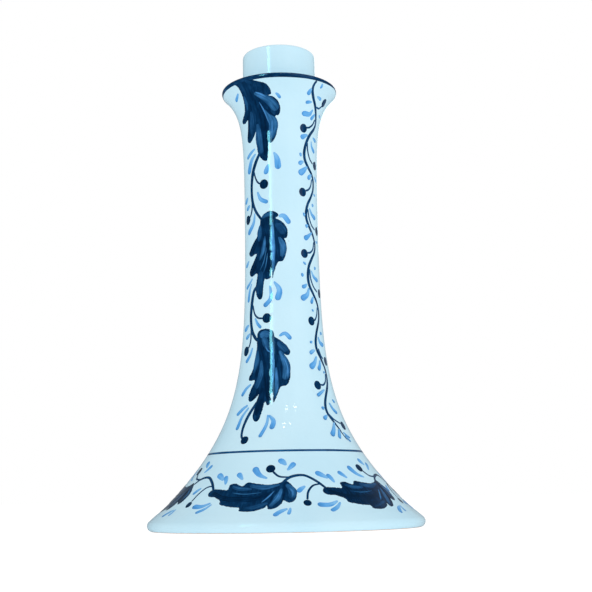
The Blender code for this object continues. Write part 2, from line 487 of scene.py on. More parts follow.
def curve_between(a, b, c, d, steps):
    """Points of a Catmull-Rom curve from b towards c, without c."""
    points = []
    for t in np.arange(steps) / steps:
        cubic = (2 * b) + (c - a) * t + (2 * a - 5 * b + 4 * c - d) * t**2
        points.append(0.5 * (cubic + (3 * b - a - 3 * c + d) * t**3))
    return points


def smooth_path(points, steps=10):
    """A smooth curve through the points. Every column of a point is carried along."""
    p = np.array(points, float)
    p = np.vstack([2 * p[0] - p[1], p, 2 * p[-1] - p[-2]])
    path = []
    for corners in zip(p, p[1:], p[2:], p[3:]):
        path += curve_between(*corners, steps)
    path.append(p[-2])
    return np.array(path)


def closed_path(points, steps=5):
    """A smooth closed curve through the points."""
    p = np.array(points, float)
    path = []
    for corners in zip(np.roll(p, 1, axis=0), p, np.roll(p, -1, axis=0), np.roll(p, -2, axis=0)):
        path += curve_between(*corners, steps)
    return np.array(path)


def leaf_filling(border):
    """Points inside a closed border (mm, anticlockwise): a row just inside it and a staggered grid."""
    ahead = np.roll(border, -1, axis=0)
    along = ahead - np.roll(border, 1, axis=0)
    inward = np.column_stack([-along[:, 1], along[:, 0]])
    inward /= np.linalg.norm(inward, axis=1)[:, None]
    row = (border + FILL_INSET * inward)[::2]
    low, high = border.min(axis=0), border.max(axis=0)
    grid = [
        (x + FILL_SPACING / 2 * (number % 2), y)
        for number, y in enumerate(np.arange(low[1], high[1], FILL_ROW_SPACING))
        for x in np.arange(low[0], high[0], FILL_SPACING)
    ]
    kept = []
    for x, y in np.vstack([row, grid]):
        crossing = (border[:, 1] > y) != (ahead[:, 1] > y)
        rise = np.where(crossing, ahead[:, 1] - border[:, 1], 1.0)
        where = border[:, 0] + (y - border[:, 1]) * (ahead[:, 0] - border[:, 0]) / rise
        inside = np.count_nonzero(crossing & (x < where)) % 2 == 1
        gap = np.hypot(border[:, 0] - x, border[:, 1] - y).min()
        if inside and gap > FILL_GAP:
            kept.append((x, y))
    return np.array(kept)


def scale_at(z):
    """Metres of surface per degree round the axis, and per millimetre of height."""
    return math.radians(1) * outer_radius(z * MM), MM * math.hypot(1, outer_slope(z * MM))


# How heavily the cobalt lies at the start and at the end of a stroke.
BLACK = (0.90, 0.95)
BERRY = (0.88, 0.93)
NAVY = (0.82, 0.88)
SMALL_BERRY = (0.78, 0.84)
VINE = (0.76, 0.80)
THIN_VINE = (0.72, 0.76)
DEEP = (0.66, 0.75)
TWIG = (0.64, 0.72)
COBALT = (0.56, 0.63)
MIDDLE = (0.48, 0.56)
BRIGHT = (0.38, 0.46)
WASH = (0.20, 0.33)
WASH_EDGE = 0.05  # how much heavier a petal's edge is
LEAF_INK = 0.84
LOBE_MELT = 0.42  # how much of the leaf's weight a lobe takes on at its edges


class Painting:
    """One painted piece: brush strokes and filled leaves gathered into one mesh."""

    def __init__(self, name, material, slot, seed):
        self.name, self.material, self.slot = name, material, slot
        self.random = np.random.default_rng(seed)
        self.verts, self.faces, self.normals, self.ink, self.brush = [], [], [], [], []
        self.ground = 0.0  # how high the paint lies that the next strokes go on
        self.layer = 0

    def start_on(self, ground, layer=0):
        """The next strokes lie on paint that stands this proud of the glaze."""
        self.ground, self.layer = ground, layer

    def new_bristles(self):
        """A place in the streaks' noise, so that no two strokes are streaked alike."""
        return float(self.random.uniform(0, 90))

    def point(self, degrees, z, lift, ink, brush, shown=True):
        angle, height = math.radians(degrees), z * MM
        normal = skin_normal(angle, height)
        self.verts.append(tuple(skin(angle, height) + lift * normal))
        self.normals.append(tuple(normal) if shown else (0.0, 0.0, 0.0))
        self.ink.append(ink)
        self.brush.append(brush)
        return len(self.verts) - 1

    def stroke(self, points, ink, turn=0.0, edge=0.0, across=6):
        """One stroke of the brush. points are (degrees, height in mm, width in mm); ink is (start, end)."""
        path = smooth_path(points)
        steps = np.diff(path[:, :2], axis=0)
        scales = np.array([scale_at(z) for z in (path[1:, 1] + path[:-1, 1]) / 2])
        along = np.concatenate([[0], np.cumsum(np.hypot(*(steps * scales).T))])
        length = along[-1]
        rows = int(min(MOST_ROWS, max(FEWEST_ROWS, length / ROW_SPACING + EXTRA_ROWS)))
        where = length * (1 - np.cos(np.pi * np.arange(rows + 1) / rows)) / 2
        if length > LONG_LINE:
            where = length * np.arange(rows + 1) / rows
        line = np.column_stack([np.interp(where, along, path[:, k]) for k in range(3)])
        half = line[:, 2] * MM / 2
        near_start = np.clip(where / min(half[0], length / 2), 0, 1)
        near_end = np.clip((length - where) / min(half[-1], length / 2), 0, 1)
        half = half * np.sqrt(1 - (1 - near_start) ** 2) * np.sqrt(1 - (1 - near_end) ** 2)
        half = np.maximum(half, THINNEST_HALF)
        lift = self.ground + PAINT_LIFT + PAINT_LAYER * self.layer
        sunk = self.ground - PAINT_SUNK
        self.layer += 1
        seed = self.new_bristles()
        shares = np.sin(np.linspace(-1, 1, across + 1) * math.pi / 2)
        rings = []
        for i in range(rows + 1):
            before, after = line[max(i - 1, 0)], line[min(i + 1, rows)]
            scale = np.array(scale_at(line[i, 1]))
            tangent = (after - before)[:2] * scale
            tangent /= np.linalg.norm(tangent)
            left = np.array((-tangent[1], tangent[0])) / scale
            t = where[i] / length
            end_melt = (2 * t - 1) ** 4
            row = []
            for j, share in enumerate(shares):
                degrees, z = line[i, :2] + left * share * half[i]
                rim = i in (0, rows) or j in (0, across)
                heavy = ink[0] + (ink[1] - ink[0]) * t + edge * max(share**4, end_melt)
                bristle = (share * half[i] / MM * BRISTLES_ACROSS, where[i] / MM * BRISTLES_ALONG, seed)
                row.append(self.point(degrees + turn, z, sunk if rim else lift, heavy, bristle))
            sides = []
            for share in (-1, 1):
                degrees, z = line[i, :2] + left * share * half[i]
                sides.append(self.point(degrees + turn, z, -PAINT_ROOT, ink[0], (0, 0, seed), shown=False))
            rings.append((sides[0], *row, sides[1]))
        for here, there in zip(rings, rings[1:]):
            for j in range(len(here)):
                self.faces.append((here[j - 1], there[j - 1], there[j], here[j]))
        self.faces += [rings[0], rings[-1][::-1]]

    def thin_strokes(self, lines, ink, turn, edge=0.0):
        """Strokes that need few facets across."""
        for points in lines:
            self.stroke(points, ink, turn, edge, across=4)

    def berry(self, degrees, z, size, turn, ink=BERRY):
        """A round dab. size is its diameter in mm."""
        rise = size / 2 / math.hypot(1, outer_slope(z * MM))
        self.stroke([(degrees, z + rise, size), (degrees, z - rise, size)], ink, turn, across=8)

    def fill(self, outline, ink, turn=0.0):
        """A whole leaf. outline holds (degrees, height in mm) points round it."""
        border = closed_path(outline)
        middle = border[:, 1].mean()
        scale = np.array(scale_at(middle)) / MM
        border = border * scale
        turns = border[:, 0] * np.roll(border[:, 1], -1) - border[:, 1] * np.roll(border[:, 0], -1)
        if turns.sum() < 0:
            border = border[::-1]
        spots = np.vstack([border, leaf_filling(border)])
        count = len(border)
        flat = [Vector((x, y)) for x, y in spots]
        found, _, faces, origins, _, _ = delaunay_2d_cdt(flat, [], [list(range(count))], 1, 1e-5)
        seed = self.new_bristles()
        lift = self.ground + PAINT_LIFT
        top, root, at = [], [], {}
        for number, (spot, origin) in enumerate(zip(found, origins)):
            degrees, z = np.array(spot) / scale
            on_border = origin[0] < count
            at.update((index, number) for index in origin)
            bristle = (spot[0] * FILL_BRISTLES_ACROSS, spot[1] * FILL_BRISTLES_UP, seed)
            top.append(self.point(degrees + turn, z, -PAINT_SUNK if on_border else lift, ink, bristle))
        for spot in found:
            degrees, z = np.array(spot) / scale
            root.append(self.point(degrees + turn, z, -PAINT_ROOT, ink, (0, 0, seed), shown=False))
        for face in faces:
            self.faces.append(tuple(top[i] for i in face))
            self.faces.append(tuple(root[i] for i in reversed(face)))
        for index in range(count):
            a, b = at[index], at[(index + 1) % count]
            self.faces.append((root[a], root[b], top[b], top[a]))

    def leaf(self, outline, lobes, turn, heavier=0.0):
        """A leaf filled with dark cobalt, then shaded lobe by lobe. A lobe's edges melt into the leaf."""
        self.start_on(0.0)
        self.fill(outline, LEAF_INK + heavier, turn)
        self.start_on(PAINT_LIFT)
        for (start, end), points in lobes:
            edge = LOBE_MELT * (LEAF_INK - (start + end) / 2)
            self.stroke(points, (start + heavier, end + heavier), turn, edge)

    def finish(self):
        piece = new_piece(self.name, self.verts, self.faces, self.material)
        give_paint(piece, self.ink, self.brush)
        piece.data.normals_split_custom_set_from_vertices(self.normals)
        fit(piece, self.slot)


# ---- the leaf vine

# A leaf is its outline and the strokes that shade its lobes, in the order that they are laid down.
TOP_LEAF = [
    (-50, 228.5), (-48.5, 226), (-49, 222.5), (-51.5, 218.5), (-56, 214.6), (-63, 212.6), (-67.5, 211.3),
    (-66, 209.6), (-59, 209.2), (-50.5, 210.2), (-51.5, 208), (-56, 203.4), (-59, 200.6), (-57, 198.8),
    (-51, 198.2), (-43.5, 200.2), (-36, 204), (-36.5, 200), (-38, 195), (-36.5, 191.5), (-32, 188.6),
    (-26, 186.8), (-20.5, 186.8), (-18.8, 189.5), (-18.8, 196), (-14, 195.8), (-8, 197.8), (-4, 201.5),
    (-3.4, 205), (-5.2, 209.6), (-1.5, 210), (1.4, 212), (1.2, 215), (-3, 218), (-8, 219.6),
    (-12.5, 220.1), (-9.5, 220.6), (-9.8, 222.8), (-14, 225.4), (-21, 226.6), (-27.5, 227.6), (-28.5, 228.5),
]
TOP_LEAF_LOBES = [
    (DEEP, [(-36, 228, 1.4), (-32, 226.8, 1.8), (-28, 226.4, 1)]),
    (COBALT, [(-46.5, 222, 1.2), (-46.5, 218.5, 2.2), (-48.5, 215, 1)]),
    (DEEP, [(-42, 214, 1.5), (-44.5, 208, 3.8), (-48, 202.5, 3)]),
    (BLACK, [(-48, 213, 1.5), (-52, 206, 1.6), (-56.5, 200.6, 1.6)]),
    (COBALT, [(-34, 207, 1.6), (-33, 199, 4.6), (-30, 191, 3.2)]),
    (BLACK, [(-27, 216, 2.5), (-23.5, 204, 3.8), (-22, 189.5, 2.6)]),
    (MIDDLE, [(-20, 213.5, 1), (-9.5, 206.5, 5), (-13.5, 198.2, 3.4)]),
    (MIDDLE, [(-31, 222, 1.2), (-13, 217.5, 4.6), (-3, 212.8, 5)]),
    (BRIGHT, [(-29, 222.4, 0.5), (-22, 221, 1), (-15, 219.2, 0.4)]),
    (NAVY, [(-20, 214, 0.6), (-13.5, 211.5, 1.3), (-6.5, 209.6, 0.6)]),
    (BRIGHT, [(-27, 217.6, 0.4), (-20.5, 212, 0.9), (-16, 206.5, 0.3)]),
    (BRIGHT, [(-12, 208, 0.4), (-11.2, 203, 1), (-12.2, 198.6, 0.4)]),
]
MIDDLE_LEAF = [
    (-34, 156), (-36, 152), (-41, 147.5), (-46, 144.5), (-53, 142), (-59, 140.6), (-61, 139.4), (-58, 138),
    (-52, 137.4), (-45, 138.2), (-42.5, 138), (-47, 135.4), (-53, 132.8), (-58, 130.6), (-59, 129),
    (-56, 127.3), (-50, 126.9), (-43, 127.9), (-40.5, 127.3), (-42.5, 124), (-44, 120), (-42, 116.6),
    (-37, 114.4), (-32, 114.6), (-29.8, 116.5), (-29, 120), (-27, 124.2), (-23, 124.2), (-17, 125.2),
    (-16, 129), (-14.6, 124), (-11.5, 128), (-6, 132.6), (-2, 133.1), (2, 133.6), (6, 136.6), (7.6, 141),
    (6, 144), (4.6, 145.1), (8, 145.6), (9.8, 148.2), (8.4, 151), (3, 153.6), (-4, 155.3), (-8, 156),
    (-4.5, 156.9), (-4.6, 158.2), (-10, 159.6), (-16, 160), (-22, 159.8), (-28, 158.4),
]
MIDDLE_LEAF_LOBES = [
    (COBALT, [(-31, 156.6, 1.2), (-24, 158, 2.4), (-12, 158.4, 1.6)]),
    (COBALT, [(-34.5, 153, 1), (-35.5, 149, 3.2), (-37, 144.5, 1.2)]),
    (BLACK, [(-40, 146.5, 1.6), (-48, 142.2, 3.4), (-57, 139.6, 2.2)]),
    (BLACK, [(-29.5, 155.5, 2.4), (-23.5, 146, 4), (-20, 128, 3)]),
    (MIDDLE, [(-26, 147, 0.8), (-28.5, 140.5, 2.6), (-36, 134.5, 0.8)]),
    (BLACK, [(-41, 135.5, 2), (-47, 131.4, 4), (-55, 129.4, 2.6)]),
    (DEEP, [(-33, 129, 2.6), (-36, 122, 4.6), (-35.5, 117, 3.6)]),
    (MIDDLE, [(-23.5, 141, 0.3), (-28, 134, 0.7), (-35, 129.4, 0.3)]),
    (MIDDLE, [(-22, 138, 0.3), (-25, 131.5, 0.7), (-30, 127.4, 0.3)]),
    # This pale stroke is partly painted highlight: it lightens the leaf down the line where the window strip
    # is reflected on the column.
    (BRIGHT, [(-14, 154, 1.2), (-13.2, 140, 2.4), (-13.2, 128, 0.8)]),
    (MIDDLE, [(-5, 146, 1.6), (1.5, 141, 4), (0, 135.6, 3.2)]),
    (NAVY, [(-8.6, 149, 1), (-5.6, 141, 2), (-4, 134.4, 1.2)]),
    (DEEP, [(-9.5, 153, 1.6), (-1, 150.6, 4.4), (4.8, 147.4, 3.2)]),
]
LOW_LEAF = [
    (-38, 94), (-38.5, 96.6), (-35, 98.4), (-28, 99.1), (-20, 98.8), (-13.5, 97.6), (-11.8, 95),
    (-9.5, 94.2), (-3, 92.6), (4, 90), (8.8, 87.4), (7.6, 85.4), (4, 84.9), (0.5, 85.4), (4.5, 82),
    (7.6, 78.5), (8, 75), (6, 71.5), (2.5, 69.6), (-1.5, 69.3), (-4, 68.6), (-7, 65), (-10.5, 61.2),
    (-12, 62.5), (-12.5, 66), (-14.5, 65), (-13.6, 62.5), (-15, 60.3), (-18, 60), (-20, 61.5), (-22, 56.5),
    (-23.5, 53), (-26.5, 51.9), (-30, 53), (-31.8, 56), (-30, 61), (-27.5, 65.8), (-31, 64), (-36, 62.3),
    (-40, 62.6), (-42, 65), (-40, 69), (-36.5, 72.8), (-41, 72.8), (-45.5, 73.2), (-46.3, 75),
    (-43, 77.4), (-40.5, 80.5), (-38.5, 86), (-38, 91),
]
LOW_LEAF_LOBES = [
    (MIDDLE, [(-34, 96, 2.6), (-27, 96, 4.4), (-18, 96.4, 2.6)]),
    (COBALT, [(-28, 95, 2.6), (-24.5, 91.6, 3.6), (-20, 88, 1.4)]),
    (BRIGHT, [(-25, 90.4, 0.4), (-21, 87.8, 0.8), (-17, 86.8, 0.5)]),
    (COBALT, [(-36, 88, 1.6), (-36.5, 82, 3), (-39.5, 76.6, 1.6)]),
    (BLACK, [(-36.5, 93, 2), (-29, 86, 2.6), (-22, 76, 2.6), (-17.6, 64, 2.2)]),
    (COBALT, [(-29, 83, 1.2), (-28.5, 76, 3), (-33, 68.6, 2.4)]),
    (BLACK, [(-24, 69, 2), (-26, 61, 4.2), (-27, 55, 3.4)]),
    (NAVY, [(-33, 67.5, 1.4), (-37, 64.6, 2.6), (-39.5, 64.2, 1.6)]),
    (BLACK, [(-19, 66.5, 1.6), (-16.6, 62.6, 2.6)]),
    # This pale stroke is partly painted highlight: it lightens the leaf down the line where the window strip
    # is reflected on the column.
    (BRIGHT, [(-15, 92, 1), (-13.4, 80, 1.8), (-13.2, 68, 0.8)]),
    (MIDDLE, [(-9.5, 79, 1), (-8, 70, 2.2), (-10.2, 63, 0.5)]),
    (MIDDLE, [(-5, 87.4, 1.6), (3, 80, 4), (1.2, 72.6, 3.4)]),
    (BRIGHT, [(1.5, 83, 0.3), (4.6, 78.4, 0.9), (4, 73.4, 0.4)]),
    (NAVY, [(-7.5, 85.4, 0.8), (-4.6, 78, 1.8), (-2.8, 71, 1)]),
    (DEEP, [(-8, 92, 1.4), (-0.5, 89.2, 3.8), (4.8, 87, 2.4)]),
]
LEAF_VINE_LINES = [
    [(-33, 191.5, 1.7), (-42, 186.5, 2.4), (-49, 181, 2.6), (-52, 174, 2.3), (-50.5, 167, 2.3),
     (-43, 161, 1.8), (-32, 156, 1.6)],
    [(-47, 184, 1.1), (-43, 179, 1.1), (-37.5, 175.8, 1.1), (-30, 174.7, 1)],
    [(-51.5, 171, 1.2), (-51.5, 163, 1.3), (-55, 159.5, 1.2), (-60, 158.2, 1)],
    [(-41.5, 121.5, 1.2), (-48, 118.5, 2.2), (-52, 112, 2.6), (-53, 105.5, 2.4), (-49, 99, 2.2),
     (-41, 94.6, 1.9), (-34.5, 92.6, 1.2)],
    [(-49, 112, 1.1), (-45, 107.5, 1.1), (-38, 105, 1.1), (-28, 104.4, 1)],
    [(-51.5, 101, 1.2), (-50.5, 94.5, 1.2), (-53, 91, 1.2), (-57, 89.6, 1)],
    [(-29, 62, 1.5), (-36, 55.5, 2), (-38.5, 50, 1.8), (-37.5, 45.5, 1.5), (-34.5, 43.4, 1.2)],
]
LEAF_VINE_BERRIES = [
    (-27, 174.5, 5.1), (-63.5, 157.6, 4.9), (-23.5, 104.4, 5), (-59.5, 88.7, 5), (-33, 43.1, 4.4),
]
LEAF_VINE_PETALS = [
    [(-53, 224, 1), (-59, 222.6, 2), (-65, 221.4, 2.1)],
    [(-4.5, 221, 1), (-1.5, 220, 1.8), (1.5, 218.4, 1.7)],
    [(-42, 194.3, 1), (-52, 192.6, 2), (-62.5, 190.4, 2.3)],
    [(-41, 191.6, 1.1), (-52, 188, 2.9), (-59, 181.8, 4.1)],
    [(-10, 191, 1), (-5, 187.4, 3.2), (-3.5, 181.8, 3.9)],
    [(-18, 184.8, 1.5), (-21, 182.5, 2.7), (-24.5, 179.6, 2.9)],
    [(-39, 171, 1.1), (-33, 166.8, 2.3), (-20.5, 164.6, 2.3)],
    [(-63, 169.6, 1.2), (-67, 168.6, 2.7), (-74, 167, 2.7)],
    [(-57, 165, 1.1), (-62, 164.2, 2.4), (-68, 163.2, 2.4)],
    [(-45, 160, 1), (-49, 154.5, 2.3), (-63, 149.8, 3.4)], [(-4, 156.8, 1.5), (4, 157, 2.7), (13, 153, 2.8)],
    [(-61, 135.8, 1), (-66, 134.4, 2.2), (-72, 133, 2.4)],
    [(-51, 126, 0.9), (-59, 123.6, 1.7), (-69, 121.6, 2.4)],
    [(-53, 123.4, 0.9), (-58.5, 119.5, 2), (-61.5, 114, 2.7)],
    [(-18.5, 121, 1), (-17.5, 114.5, 2.1), (-28, 110.4, 2.7)],
    [(-12.5, 123, 1), (-4.5, 118.5, 2.9), (-8, 113.2, 3.4)],
    [(-43.5, 105, 1), (-38.5, 102, 1.7), (-32, 99.6, 1.6)],
    [(-57, 102, 1.1), (-63, 101, 2.7), (-70, 99.6, 2.8)],
    [(-53, 97.4, 1), (-57.5, 96.4, 2.3), (-63, 95.2, 2.4)],
    [(-45.5, 90, 1), (-49.5, 86, 1.8), (-57, 82.8, 2.7)],
    [(-5.5, 94.9, 1.1), (2.5, 96.2, 2), (10.5, 93.2, 2.3)],
    [(-41, 71.2, 1.1), (-48, 69, 2), (-53.5, 65.6, 2.6)],
    [(-40, 60.6, 1.1), (-46, 58.8, 2.1), (-52.5, 56, 2.7)],
    [(-38, 59.4, 1), (-44, 54.5, 1.8), (-45.5, 48.4, 2.7)],
    [(-15.5, 55.2, 1), (-16, 50.5, 1.6), (-20.5, 44.2, 2.1)],
    [(-14.5, 55, 1.1), (-10, 52, 2.4), (-11.5, 48, 2.8)],
]


def leaf_vine(dark, light, turn):
    """A climbing vine with three lobed leaves, berries and light petals."""
    light.thin_strokes(LEAF_VINE_PETALS, WASH, turn, WASH_EDGE)
    dark.thin_strokes(LEAF_VINE_LINES, VINE, turn)
    dark.leaf(TOP_LEAF, TOP_LEAF_LOBES, turn)
    dark.leaf(MIDDLE_LEAF, MIDDLE_LEAF_LOBES, turn)
    dark.leaf(LOW_LEAF, LOW_LEAF_LOBES, turn)
    dark.start_on(0.0, layer=8)
    for berry in LEAF_VINE_BERRIES:
        dark.berry(*berry, turn)


# ---- the berry vine

BERRY_VINE_LINE = [
    (41, 228.4, 1.6), (39.5, 226, 1.6), (41, 223.6, 1.8), (46.5, 220.6, 1.9), (55, 217, 2),
    (61, 213.4, 2), (64.5, 209.4, 2), (61.5, 206.2, 1.9), (52, 202.2, 2), (44.5, 197.6, 2),
    (40.2, 192, 2.1), (42, 187.6, 2.1), (50, 183.8, 2), (58, 181, 2), (62.2, 177.4, 2),
    (61, 173, 1.8), (54, 168.6, 1.8), (46, 164.4, 1.9), (42, 159.6, 2), (43.6, 155.6, 2),
    (50, 151.8, 1.9), (58, 148.2, 1.9), (63.2, 143.6, 1.9), (60.5, 139.8, 1.8), (52, 135.8, 1.9),
    (45, 131.6, 2), (42.4, 126.6, 2.1), (44.4, 121.8, 2.1), (52, 117.8, 2), (61, 113.6, 2),
    (65.5, 109, 2.1), (63, 104, 2), (55, 98.4, 2), (50, 93, 2.2), (50.6, 88.6, 2.2),
    (57, 84.2, 2.1), (63, 79.6, 2), (64, 75.6, 2), (60.6, 71, 2), (52, 65.6, 1.9),
    (46.4, 61, 2), (45.2, 56.8, 2), (49, 52.8, 1.9), (53.4, 49, 1.5), (56, 45.4, 1.1), (58.6, 42.4, 0.6),
]
# A twig is the points of its line and the place of the berry or bud at its end.
BERRY_VINE_TWIGS = [
    ([(57, 217.2), (64, 217.2), (70.5, 219.4)], (71.5, 221)),
    ([(60.5, 211), (57, 208.2), (50, 206), (43, 205.2)], (37.8, 204.6)),
    ([(46.5, 197.6), (47.5, 193.4), (52.5, 189.2), (61, 187)], (69, 186.8)),
    ([(57.5, 178.6), (54.5, 174.8), (48.5, 172.4), (42, 171.4)], (36.2, 170.4)),
    ([(46, 162), (48.5, 157.6), (55, 153.6), (64, 151.8)], (73, 151.8)),
    ([(59.5, 145.2), (56.5, 141.4), (50, 139.2), (43, 138.6)], (37, 138)),
    ([(46.5, 130.4), (48, 125.6), (54, 121.4), (64, 119)], (74, 118.8)),
    ([(61.5, 111), (59, 107.4), (54.5, 104.6), (50, 103.6)], (45, 103.2)),
    ([(54, 89.4), (58, 86), (63, 84.2)], (71, 83.4)),
    ([(61.5, 76.6), (57.5, 72.6), (51.5, 70.6), (46, 70.6)], (41.6, 70.2)),
    ([(47, 55.6), (51, 53.4), (57, 51.8), (60.5, 51.2)], (64.2, 50.2)),
]
BERRY_VINE_PETALS = [
    [(49, 227.4, 1.1), (50.4, 226.4, 1.9), (50.4, 225.4, 1.8)],
    [(51.5, 221.8, 1), (56.5, 221.6, 1.8), (61.5, 221.2, 1.9)],
    [(38.5, 224.4, 1.5), (37.5, 222.6, 2.8), (36.5, 221.2, 2.9)],
    [(46, 218.6, 1), (41, 218.2, 1.9), (36, 217.6, 1.9)],
    [(51.5, 215.4, 1), (47, 212.6, 2.5), (38, 212.2, 3.1), (32.5, 211.8, 2)],
    [(58.5, 213.6, 1), (54.5, 211.8, 2.2), (50, 210, 1.9)],
    [(70, 214.4, 1), (73, 214.2, 1.5), (77, 213.8, 1.6)],
    [(47, 201.6, 1), (40, 200.6, 2.4), (33, 199.2, 3.6)],
    [(59.5, 201.2, 1), (65, 200.6, 2.1), (71, 200.2, 2.5)],
    [(55.5, 199, 0.8), (58, 196, 1.8), (66.5, 193.6, 3)], [(35.5, 190.5, 2.2), (31, 190.2, 2.6)],
    [(39, 186.8, 1), (34, 186.2, 2.2), (29.5, 185, 2.9)],
    [(46.5, 184.6, 1), (39, 182.2, 3), (29.5, 179.8, 4)],
    [(56.5, 181, 1.1), (51.5, 179.4, 2.5), (47, 178, 2)],
    [(66, 180.6, 0.9), (70, 179.6, 1.5), (76, 178.6, 1.8)], [(62, 170.9, 1), (68, 170.4, 1.6)],
    [(56, 165, 1.5), (61, 164.4, 2.5)], [(40, 158.8, 1.5), (36, 158.4, 3)],
    [(49.5, 162.6, 0.8), (56, 159.6, 2), (67, 157.8, 3.2)], [(45.5, 153.4, 1), (40.5, 152.2, 3)],
    [(54, 149.8, 1), (45.5, 147.4, 2.2), (37, 145.7, 3.5)], [(66, 146, 0.9), (72, 145.4, 1.6)],
    [(37.5, 133.4, 2.2), (35.5, 132.4, 2.5)], [(58, 131.8, 1.5), (62, 131, 2.4)],
    [(49.5, 129.6, 0.8), (56, 126.6, 1.8), (68, 125, 2.8)], [(34, 126.9, 2), (29.5, 126.5, 2.2)],
    [(39.5, 122.2, 1), (35, 120.8, 2.1), (30, 120.5, 2.2)],
    [(43, 120.2, 1), (39.5, 116.6, 2.5), (28, 114, 3.8)], [(51.5, 116, 1), (49, 114, 2), (46.5, 112.2, 2.2)],
    [(50, 109.2, 1.8), (48, 108.4, 1.9)], [(64, 98, 1.8), (68, 97.2, 2.2)],
    [(56, 95.4, 0.8), (61, 92.4, 2.2), (70, 91.6, 2.8)], [(42.5, 92.6, 1.2), (38.6, 91.8, 1.8)],
    [(46, 88.2, 1), (41, 87.4, 2), (36.4, 86.2, 2.2)],
    [(47.5, 85, 1.1), (42.5, 81.6, 2.5), (34.2, 78.8, 3.9)],
    [(53.5, 83.2, 1.1), (51.5, 80.2, 2.2), (47.6, 78, 2.9)], [(60, 77.4, 1.2), (57, 77, 1.5)],
    [(50.5, 68, 0.9), (44, 66.4, 1.6), (37.5, 64.7, 2)], [(62, 63.4, 1.1), (65.5, 62, 1.9)],
    [(53, 61.4, 1), (56.5, 58.4, 1.8), (62, 56.4, 2.5)], [(42.6, 59, 1.8), (39.6, 58.2, 2.1)],
    [(43.6, 55, 1.1), (40, 53.6, 2.4), (38.4, 52.8, 2.5)],
    [(49.6, 51.4, 1), (45.4, 47.6, 2.4), (40.4, 44.6, 3.1)],
    [(52.6, 48.2, 1), (50.6, 45.8, 2), (48.2, 43.4, 2.2)],
    [(57.6, 46.6, 0.6), (61, 45, 1.1), (64.6, 44, 1.1)], [(57.4, 45, 0.5), (60, 43.2, 0.9), (62.2, 42, 0.8)],
]
BERRY_SIZE = 4.7
TWIG_WIDTH = 1.15


def berry_vine(dark, light, turn):
    """A thin winding vine with berries and buds on its twigs and petals in its bends."""
    light.thin_strokes(BERRY_VINE_PETALS, WASH, turn, WASH_EDGE)
    dark.thin_strokes([BERRY_VINE_LINE], THIN_VINE, turn)
    for line, berry in BERRY_VINE_TWIGS:
        dark.start_on(0.0, layer=1)
        dark.thin_strokes([[(*point, TWIG_WIDTH) for point in line]], TWIG, turn)
        dark.berry(*berry, BERRY_SIZE, turn, SMALL_BERRY)


# ---- the garland on the foot

FOOT_LEAF = [
    (0, 23.4), (-4, 22.2), (-9, 21.6), (-15, 22.2), (-20.4, 22.8), (-23, 21.2), (-27, 22.4), (-30.6, 21.9),
    (-31, 19.6), (-36, 20), (-40.5, 19.8), (-42, 18), (-40, 16.4), (-35, 16), (-32, 14.4), (-31, 12.8),
    (-25, 11.6), (-20.8, 11.2), (-20, 9.8), (-15, 9.4), (-9.5, 10.8), (-8.4, 11.8), (-7.6, 10.4),
    (-4.5, 10.8), (-1.8, 12.8), (-1.2, 14.2), (1.5, 13.1), (4.2, 14.4), (5.2, 17.6), (3.4, 21),
]
FOOT_LEAF_LOBES = [
    (COBALT, [(-17, 19.6, 1.2), (-23.5, 19.8, 2.4), (-28.6, 21, 1.6)]),
    (COBALT, [(-3, 21.4, 1), (-11, 20.2, 3), (-18.6, 21.2, 2.2)]),
    (DEEP, [(-8, 13.2, 1.4), (-13.5, 11.6, 2.6), (-18.6, 10.8, 1.4)]),
    (BLACK, [(-6, 18, 1.6), (-16, 15.2, 3.6), (-30, 15.6, 3), (-39, 18.2, 2)]),
    (MIDDLE, [(-12, 17.9, 0.3), (-20, 17.3, 0.7), (-27, 18, 0.3)]),
    (MIDDLE, [(-2, 19.6, 1), (-4, 15.4, 3), (-7, 11.6, 1.8)]),
    (BRIGHT, [(-5.6, 18.6, 0.4), (-8.4, 15.6, 1), (-11, 13.4, 0.4)]),
    (COBALT, [(0.2, 21.6, 1.6), (3.2, 18.4, 4), (2.4, 15, 3.2)]),
    (BRIGHT, [(1.6, 20, 0.5), (3.4, 17.8, 1.4), (2.6, 15.4, 0.5)]),
    (BLACK, [(-0.4, 21.4, 0.7), (-0.9, 17, 0.9), (-1.9, 13.6, 0.6)]),
]
FOOT_LINES = [
    [(-1.5, 22.6, 1.5), (3, 25, 1.8), (10, 25.6, 1.6), (16, 23, 1.6), (20.5, 19.4, 1.5)],
    [(19, 21.6, 1), (14, 20.8, 1.1), (10.8, 18, 1.2), (9.6, 14.4, 1.1)],
    [(2, 24.8, 1), (-3.5, 25.2, 1.2), (-7.4, 27.6, 1.2)],
]
FOOT_BERRIES = [(9.4, 13, 3.9), (-8.8, 28.9, 4.6)]
FOOT_PETALS = [
    [(-10, 24.4, 1.1), (-15, 26.2, 2.8), (-19, 29.8, 4)],
    [(-24, 24, 1.1), (-26, 25.6, 2.6), (-28.6, 27.2, 3.1)],
    [(0.5, 30.4, 1.1), (-1.6, 32, 3.3), (-4.4, 33.2, 3.1)],
    [(1, 28, 1.1), (3.4, 29.8, 2.6), (5.8, 31.6, 3.1)], [(23.5, 24, 1.1), (20.5, 25.6, 3.1), (17, 27, 3.3)],
    [(26.4, 22, 1.1), (25.4, 24, 2.4), (23.6, 26, 2.7)],
    [(9.8, 20.6, 1.1), (7.6, 19.4, 2.4), (5.6, 17.8, 2.8)],
    [(0.6, 10.6, 1.1), (-2.4, 9.4, 2.6), (-5, 7.6, 2.6)], [(1.8, 11, 0.9), (1.4, 9.6, 1.7), (0.8, 8, 1.7)],
    [(23.6, 13.6, 1.1), (19, 12, 2.8), (13.6, 12.2, 3.3)],
    [(24.6, 13, 0.9), (22, 10.8, 2.1), (18.6, 9.2, 2.4)],
]
FOOT_REPEATS = 6
